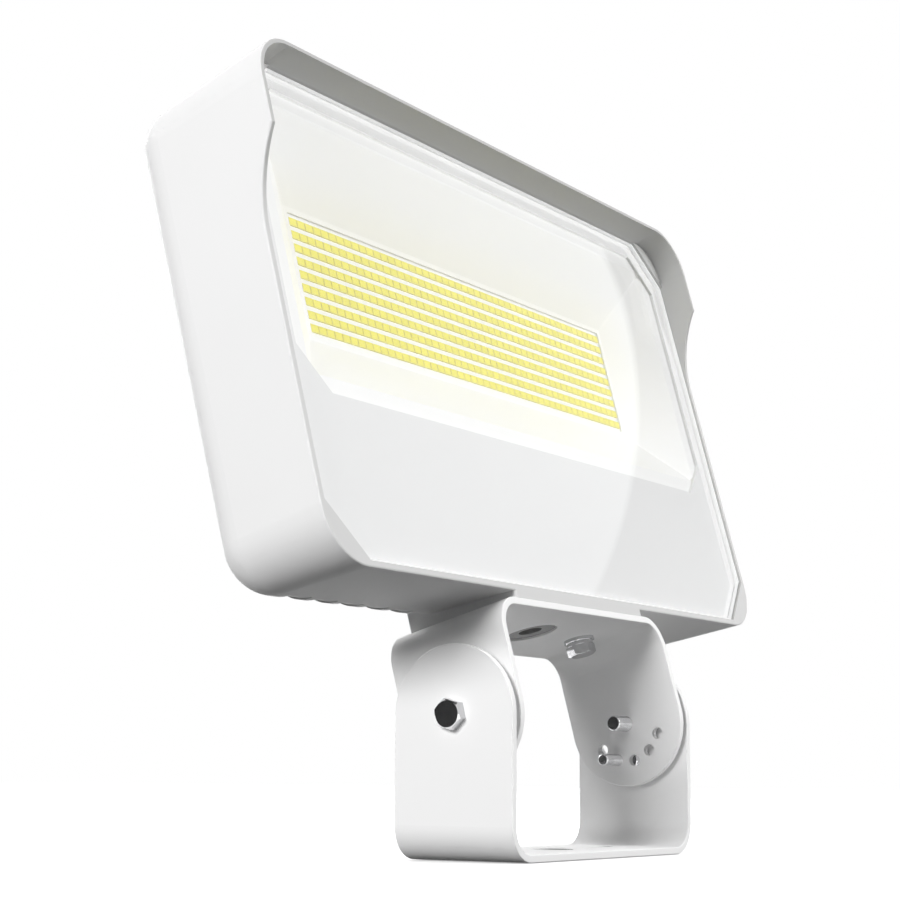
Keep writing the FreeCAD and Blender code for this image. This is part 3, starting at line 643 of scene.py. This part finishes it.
def turn_in_window(film, depth):
    """Draws the wall of the film's window back to the tray, so that no slot shows round the window."""
    back = max(depth_of(vertex) for vertex in film.verts)
    middle = sum((vertex.co for vertex in film.verts), Vector()) / len(film.verts)
    walls = [face for face in film.faces if abs(face.normal.dot(HEAD_FRONT)) < WALL_FACE
             and face.normal.dot(middle - face.calc_center_median()) > 0]
    rim = {edge for face in walls for edge in face.edges
           if all(depth_of(vertex) > back - RIM_SLACK for vertex in edge.verts)}
    drawn = bmesh.ops.extrude_edge_only(film, edges=list(rim))["geom"]
    bmesh.ops.translate(film, vec=-HEAD_FRONT * depth, verts=points_of(drawn))
    film.normal_update()
    for face in film.faces:
        if abs(face.normal.dot(HEAD_FRONT)) < WALL_FACE:
            above = face.calc_center_median().dot(HEAD_UP) > middle.dot(HEAD_UP)
            upper = above and abs(face.normal.dot(HEAD_UP)) > UPPER_WALL_FACE
            face.material_index = 1 if upper else 2


def add_piece(name, bm, materials, body, slot, *replaced):
    """A finished piece at the origin, riding on a body, standing for nodes of the frame."""
    mesh = bpy.data.meshes.new(name)
    bm.to_mesh(mesh)
    bm.free()
    for material in materials:
        mesh.materials.append(material)
    piece = bpy.data.objects.new(name, mesh)
    bpy.context.scene.collection.objects.link(piece)
    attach(piece, body)
    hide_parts(*replaced)


def led_package(bm, sizes, height):
    """One LED package about the origin, front to -Y: frame, recess, crowned phosphor, solder ends."""
    body = bmesh.ops.create_cube(bm, size=1.0)["verts"]
    bmesh.ops.scale(bm, vec=(sizes.led_length, height, sizes.led_width), verts=body)
    front = min(bm.faces, key=lambda face: face.calc_center_median().y)
    bmesh.ops.inset_region(bm, faces=[front], thickness=sizes.led_wall, depth=0.0, use_even_offset=True)
    slopes = bmesh.ops.inset_region(bm, faces=[front], thickness=sizes.led_recess,
                                    depth=-sizes.led_recess, use_even_offset=True)["faces"]
    crown = bmesh.ops.inset_region(bm, faces=[front], thickness=CROWN_SLOPE * sizes.led_crown,
                                   depth=sizes.led_crown, use_even_offset=True)["faces"]
    for face in [front, *crown, *slopes]:
        face.material_index = 1
    solder_high = height * SOLDER_HEIGHT
    solder_size = (2 * sizes.solder_reach, solder_high, sizes.led_width * SOLDER_WIDTH)
    for side in (-1, 1):
        end = bmesh.ops.create_cube(bm, size=1.0)["verts"]
        bmesh.ops.scale(bm, vec=solder_size, verts=end)
        bmesh.ops.translate(bm, vec=(side * sizes.led_length / 2, solder_high, 0.0), verts=end)
        for face in {face for vertex in end for face in vertex.link_faces}:
            face.material_index = 2


def repeat(bm, count, step):
    """Repeats all that a mesh holds, in equal steps."""
    first = whole(bm)
    for index in range(1, count):
        copy = bmesh.ops.duplicate(bm, geom=first)["geom"]
        bmesh.ops.translate(bm, vec=step * index, verts=points_of(copy))


def thread_end(radius, pitch, length_along):
    """Threaded end of a bolt along +Z from nought: low thread with broad crests, and a chamfered tip."""
    bm = bmesh.new()
    root = radius - THREAD_DEPTH * pitch
    reaches = (root, root, radius, radius, root, root)
    verts = [bm.verts.new((reach, 0.0, (part - 1.0) * pitch))
             for reach, part in zip(reaches, (0.0, *THREAD_FLANKS, 1.0))]
    edges = [bm.edges.new(pair) for pair in zip(verts, verts[1:])]
    turns = math.ceil(length_along / pitch) + 2
    bmesh.ops.spin(bm, geom=verts + edges, cent=(0, 0, 0), axis=(0, 0, 1),
                   dvec=(0, 0, pitch / THREAD_STEPS), angle=2 * math.pi * turns,
                   steps=THREAD_STEPS * turns, use_merge=False)
    bmesh.ops.remove_doubles(bm, verts=bm.verts, dist=WELD)
    for height, way in ((0.0, -1), (length_along, 1)):
        bmesh.ops.bisect_plane(bm, geom=whole(bm), dist=CUT, plane_co=(0, 0, height),
                               plane_no=(0, 0, way), clear_outer=True)
    for vertex in bm.verts:
        allowed = radius - max(0.0, vertex.co.z - length_along + pitch / 2)
        reach = vertex.co.xy.length
        if reach > allowed:
            vertex.co.xy *= allowed / reach
    close_ends(bm)
    bmesh.ops.recalc_face_normals(bm, faces=bm.faces)
    return bm


def threaded_bolt(bm, node, side, radius, pitch, cover):
    """Adds one bolt of a node to a mesh: the node's head and shank, and a real thread inside the arm."""
    part = merged_copy(node)
    bmesh.ops.delete(part, geom=[v for v in part.verts if v.co.x * side < 0], context="VERTS")
    ys = [v.co.y for v in part.verts]
    zs = [v.co.z for v in part.verts]
    tip = min(v.co.x * side for v in part.verts)
    start = tip + cover
    bmesh.ops.bisect_plane(part, geom=whole(part), dist=CUT, plane_co=(side * start, 0, 0),
                           plane_no=(-side, 0, 0), clear_outer=True)
    close_ends(part)
    middle = Vector((side * (start + pitch / 2), (min(ys) + max(ys)) / 2, (min(zs) + max(zs)) / 2))
    thread = thread_end(radius, pitch, start + pitch / 2 - tip)
    turn = Matrix.Rotation(-side * math.pi / 2, 4, "Y")
    bmesh.ops.transform(thread, matrix=Matrix.Translation(middle) @ turn, verts=thread.verts)
    for source in (part, thread):
        mesh = bpy.data.meshes.new("joining")
        source.to_mesh(mesh)
        source.free()
        bm.from_mesh(mesh)
        bpy.data.meshes.remove(mesh)


class FLOODLIGHT_OT_powder_coat(Operator):
    """Coats the casting and the bent brackets"""

    bl_idname = "floodlight.powder_coat"
    bl_label = "Coat casting and brackets"

    def execute(self, context):
        finish = context.scene.flood_light_finish
        casting = powder_coat("powder_coat_casting", finish.powder, peel_size=1.4 * MM,
                              peel_depth=0.020 * MM, hood_shade_value=finish.painted_hood_shade)
        sheet = powder_coat("powder_coat_sheet", finish.sheet_powder, peel_size=1.1 * MM,
                            peel_depth=0.014 * MM)
        dress(casting, "housing")
        dress(sheet, "u_bracket", "arm_bracket", "pivot_spacers", "pivot_inserts")
        return {"FINISHED"}


class FLOODLIGHT_OT_front(Operator):
    """Finishes the front glass, the film behind it and its seal"""

    bl_idname = "floodlight.front"
    bl_label = "Finish glass, film and seal"

    def execute(self, context):
        finish = context.scene.flood_light_finish
        sizes = context.scene.flood_light_sizes
        pane = merged_copy("lens")
        for face in pane.faces:
            forwards = face.normal.dot(HEAD_FRONT)
            if abs(forwards) < FLAT_FACE:
                face.material_index = 2 if forwards > ARRIS_FACE else 1
        # The pane's ground sides and arris carry a painted glow.
        glass = [
            clear_glass("front_glass", finish.glass),
            ground_edge("ground_glass", finish.glass_edge, PANE_SIDE_PAINTED_GLOW),
            ground_edge("ground_arris", finish.glass_edge, PANE_ARRIS_PAINTED_GLOW),
        ]
        add_piece("front_pane", pane, glass, "head", "front_glass", "lens")
        film = merged_copy("lens_mask")
        front = min(depth_of(vertex) for vertex in film.verts)
        for vertex in film.verts:
            if depth_of(vertex) < front + sizes.film_gap:
                vertex.co -= HEAD_FRONT * sizes.film_gap
        turn_in_window(film, sizes.film_bead)
        # The film's border, upper wall and other walls carry a painted glow.
        films = [
            printed_film("printed_film", finish.film, FILM_BORDER_PAINTED_GLOW, sizes.glass_corner),
            printed_film("film_edge", finish.film, FILM_EDGE_PAINTED_GLOW),
            printed_film("film_wall", finish.film, FILM_WALL_PAINTED_GLOW),
        ]
        add_piece("printed_film", film, films, "head", "white_film", "lens_mask")
        dress(silicone("silicone_seal", finish.seal), "lens_gasket")
        return {"FINISHED"}


class FLOODLIGHT_OT_leds(Operator):
    """Models the rows of LED packages on the board"""

    bl_idname = "floodlight.leds"
    bl_label = "Model LED packages"

    def execute(self, context):
        finish = context.scene.flood_light_finish
        sizes = context.scene.flood_light_sizes
        low, high, pitch, row_pitch = led_grid(sizes)
        bm = bmesh.new()
        led_package(bm, sizes, high.y - low.y)
        first = Vector((low.x + sizes.led_length / 2, (low.y + high.y) / 2, low.z + sizes.led_width / 2))
        bmesh.ops.translate(bm, vec=first, verts=bm.verts)
        repeat(bm, sizes.led_columns, Vector((pitch, 0.0, 0.0)))
        repeat(bm, sizes.led_rows, Vector((0.0, 0.0, row_pitch)))
        bmesh.ops.transform(bm, matrix=HEAD, verts=bm.verts)
        materials = [
            moulded("led_frame", finish.led_frame, grain_size=0.2 * MM, rough=0.4),
            phosphor("led_phosphor", finish.phosphor, finish.phosphor_rim, sizes),
            plated_metal("led_solder", finish.solder, rough=0.3),
        ]
        add_piece("led_array", bm, materials, "head", "led_phosphor", "led_packages")
        return {"FINISHED"}


class FLOODLIGHT_OT_light_tray(Operator):
    """Finishes the reflector tray, the LED board and what holds it"""

    bl_idname = "floodlight.light_tray"
    bl_label = "Finish tray and board"

    def execute(self, context):
        finish = context.scene.flood_light_finish
        sizes = context.scene.flood_light_sizes
        dress(tray_white("tray_white", finish.tray, finish.tray_warm), "reflector")
        dress(board_white("board_white", finish.board, sizes), "led_board")
        dress(moulded("thermal_pad", finish.pad, grain_size=0.8 * MM, rough=0.65), "thermal_pad")
        connector = moulded("connector_ivory", finish.ivory, grain_size=0.3 * MM, rough=0.42)
        dress(connector, "board_connector")
        return {"FINISHED"}


class FLOODLIGHT_OT_bolts(Operator):
    """Models the threaded bolts of the tilt joint and finishes bolts, screws and washers"""

    bl_idname = "floodlight.bolts"
    bl_label = "Model bolts"

    def execute(self, context):
        finish = context.scene.flood_light_finish
        sizes = context.scene.flood_light_sizes
        steel = plated_metal("bright_steel", finish.steel, rough=0.05)
        pivots = bmesh.new()
        for side in (-1, 1):
            threaded_bolt(pivots, "pivot_bolts", side, sizes.pivot_thread / 2, sizes.pivot_pitch,
                          sizes.pivot_reach)
        smooth_by_angle(pivots)
        add_piece("pivot_bolts_threaded", pivots, [steel], "bracket", "bolt_steel", "pivot_bolts")
        lock = bmesh.new()
        threaded_bolt(lock, "lock_bolt", 1, sizes.lock_thread / 2, sizes.lock_pitch, sizes.lock_reach)
        smooth_by_angle(lock)
        add_piece("lock_bolt_threaded", lock, [steel], "head", "bolt_steel", "lock_bolt")
        dress(steel, "board_screws", "driver_screws", "arm_bolts", "arm_washers", "arm_spring_washers",
              "lock_washer")
        return {"FINISHED"}


class FLOODLIGHT_OT_driver_bay(Operator):
    """Finishes the driver, its leads, the terminal block and the cable's bushing"""

    bl_idname = "floodlight.driver_bay"
    bl_label = "Finish driver compartment"

    def execute(self, context):
        finish = context.scene.flood_light_finish
        dress(moulded("driver_case", finish.driver, grain_size=0.9 * MM, rough=0.5), "driver")
        dress(moulded("lead_insulation", finish.lead, grain_size=0.5 * MM, rough=0.4), "driver_leads")
        dress(moulded("black_rubber", finish.rubber, grain_size=0.5 * MM, rough=0.6), "lead_grommet")
        dress(moulded("grey_rubber", finish.bushing, grain_size=0.5 * MM, rough=0.6), "entry_bushing")
        dress(moulded("terminal_ivory", finish.ivory, grain_size=0.4 * MM, rough=0.42), "terminal_block")
        dress(plated_metal("terminal_brass", finish.brass, rough=0.25), "terminal_screws")
        return {"FINISHED"}


def seen_rays(shade):
    """One for rays that show the background: straight from the camera, mirrored or through glass."""
    straight = shade.node("ShaderNodeLightPath", output="Is Camera Ray")
    mirrored = shade.node("ShaderNodeLightPath", output="Is Glossy Ray")
    through = shade.node("ShaderNodeLightPath", output="Is Transmission Ray")
    return shade.math("MINIMUM", straight + mirrored + through, 1.0)


def make_world(stage):
    """White where it is seen, and a plain level of light on the object."""
    world = bpy.data.worlds.new("studio")
    bpy.context.scene.world = world
    world.use_nodes = True
    world.node_tree.nodes.clear()
    shade = Shade(world.node_tree)
    seen = seen_rays(shade)
    strength = seen + (1 - seen) * stage.ambient
    light = shade.node("ShaderNodeBackground", sockets={"Color": WHITE, "Strength": strength})
    shade.node("ShaderNodeOutputWorld", sockets={"Surface": light})


def make_floor(stage):
    """Plain pale floor that keeps the object's shadow."""
    material, shade = new_finish("pale_floor")
    seen = seen_rays(shade)
    away = vector_math(shade, "LENGTH", object_place(shade), output="Value")
    lift = stage.floor_lift + (1 - stage.floor_lift) * smooth_step(shade, away, *SHADOW_REACH)
    coat(shade, {
        "Base Color": mixed(shade, seen, solid(stage.floor_bounce), solid(stage.floor)),
        "Roughness": 0.9,
        "Specular IOR Level": 0.0,
        "Emission Color": mixed(shade, seen * lift, BLACK, WHITE),
        "Emission Strength": 1.0,
    })
    bm = bmesh.new()
    bmesh.ops.create_grid(bm, x_segments=1, y_segments=1, size=FLOOR_HALF)
    bmesh.ops.translate(bm, vec=(0.0, 0.0, -FLOOR_DROP), verts=bm.verts)
    stage_mesh("floor", bm, material)


def stage_mesh(name, bm, material):
    """A mesh of the stage."""
    mesh = bpy.data.meshes.new(name)
    bm.to_mesh(mesh)
    bm.free()
    mesh.materials.append(material)
    piece = bpy.data.objects.new(name, mesh)
    bpy.context.scene.collection.objects.link(piece)
    return piece


def glowing(shade, tone):
    """Closes a material that shows a tone by itself."""
    glow = shade.node("ShaderNodeEmission", sockets={"Color": tone, "Strength": 1.0})
    shade.node("ShaderNodeOutputMaterial", sockets={"Surface": glow})


def make_side_card(stage):
    """Card that only mirrors see: a white softbox with one round corner, before a grey wall."""
    material, shade = new_finish("side_card")
    place = object_place(shade)
    up = along_axis(shade, place, "Z")
    past = shade.math("MAXIMUM", along_axis(shade, place, "Y") - stage.card_middle[1], 0.0)
    below = shade.math("MAXIMUM", stage.card_middle[2] - up, 0.0)
    reach = shade.math("SQRT", past * past + below * below)
    outside = smooth_step(shade, reach, stage.card_radius - CARD_BLUR, stage.card_radius + CARD_BLUR)
    high = smooth_step(shade, up, *CARD_GREYS)
    wall = mixed(shade, high, solid(stage.card_low), solid(stage.card_high))
    glowing(shade, mixed(shade, outside, WHITE, wall))
    mirror_card("side_card", material, stage.card_middle, Vector((-1.0, 0.0, 0.0)), CARD_HALF)


def make_flags(stage):
    """Dark cloths that only mirrors see, so that the bolts' faces read dark."""
    material, shade = new_finish("dark_flag")
    weave = noise(shade, object_place(shade), size=20 * MM)
    glowing(shade, mixed(shade, weave, scaled(stage.flag, 0.9), scaled(stage.flag, 1.1)))
    for name, place in (("left_flag", stage.flag_place), ("back_flag", stage.back_flag_place)):
        mirror_card(name, material, place, -Vector(place), stage.flag_half)


def mirror_card(name, material, place, facing, half):
    """Square card of the stage that shows in mirror-like surfaces only."""
    bm = bmesh.new()
    bmesh.ops.create_grid(bm, x_segments=1, y_segments=1, size=half)
    turn = facing.to_track_quat("Z", "Y").to_matrix().to_4x4()
    bmesh.ops.transform(bm, matrix=Matrix.Translation(place) @ turn, verts=bm.verts)
    card = stage_mesh(name, bm, material)
    card.visible_camera = False
    card.visible_diffuse = False
    card.visible_transmission = False
    card.visible_shadow = False


def softbox(name, place, aim, width, height, watts):
    """Large soft lamp at a place, aimed at a point."""
    lamp = bpy.data.lights.new(name, "AREA")
    lamp.shape = "RECTANGLE"
    lamp.size = width
    lamp.size_y = height
    lamp.energy = watts
    holder = bpy.data.objects.new(name, lamp)
    holder.location = place
    holder.rotation_euler = (Vector(aim) - Vector(place)).to_track_quat("-Z", "Y").to_euler()
    bpy.context.scene.collection.objects.link(holder)


def make_camera(stage):
    """Camera at the photograph's angle."""
    camera = bpy.data.cameras.new("camera")
    camera.lens = stage.lens
    camera.sensor_width = SENSOR_MM
    camera.clip_start = NEAREST_SEEN
    holder = bpy.data.objects.new("camera", camera)
    holder.location = stage.eye
    holder.rotation_euler = stage.turn
    bpy.context.scene.collection.objects.link(holder)
    bpy.context.scene.camera = holder


class FLOODLIGHT_OT_stage(Operator):
    """Sets the floor, the light and the camera"""

    bl_idname = "floodlight.stage"
    bl_label = "Set the stage"

    def execute(self, context):
        stage = context.scene.flood_light_stage
        context.scene.view_settings.view_transform = "Standard"
        make_world(stage)
        make_floor(stage)
        make_side_card(stage)
        make_flags(stage)
        for name, (place, aim, width, height) in LAMPS.items():
            softbox(name, place, aim, width, height, getattr(stage, name))
        make_camera(stage)
        return {"FINISHED"}


class FLOODLIGHT_PT_panel(Panel):
    """Lists the steps that dress the flood light, with its finishes and sizes"""

    bl_idname = "FLOODLIGHT_PT_panel"
    bl_label = "Flood light"
    bl_space_type = "VIEW_3D"
    bl_region_type = "UI"
    bl_category = "Flood light"

    def draw(self, context):
        column = self.layout.column()
        for operator in OPERATORS:
            column.operator(operator.bl_idname)
        for name, group in GROUPS.items():
            box = column.box()
            for value in group.__annotations__:
                box.prop(getattr(context.scene, name), value)


GROUPS = {
    "flood_light_finish": FloodLightFinish,
    "flood_light_sizes": FloodLightSizes,
    "flood_light_stage": FloodLightStage,
}
OPERATORS = (
    FLOODLIGHT_OT_powder_coat,
    FLOODLIGHT_OT_front,
    FLOODLIGHT_OT_leds,
    FLOODLIGHT_OT_light_tray,
    FLOODLIGHT_OT_bolts,
    FLOODLIGHT_OT_driver_bay,
    FLOODLIGHT_OT_stage,
)


def register():
    for group in GROUPS.values():
        bpy.utils.register_class(group)
    for name, group in GROUPS.items():
        setattr(bpy.types.Scene, name, PointerProperty(type=group))
    for shown in (*OPERATORS, FLOODLIGHT_PT_panel):
        bpy.utils.register_class(shown)


def unregister():
    for shown in (FLOODLIGHT_PT_panel, *reversed(OPERATORS)):
        bpy.utils.unregister_class(shown)
    for name, group in GROUPS.items():
        delattr(bpy.types.Scene, name)
        bpy.utils.unregister_class(group)


def main():
    register()
    bpy.ops.floodlight.powder_coat()
    bpy.ops.floodlight.front()
    bpy.ops.floodlight.leds()
    bpy.ops.floodlight.light_tray()
    bpy.ops.floodlight.bolts()
    bpy.ops.floodlight.driver_bay()
    bpy.ops.floodlight.stage()


if __name__ == "__main__":
    main()
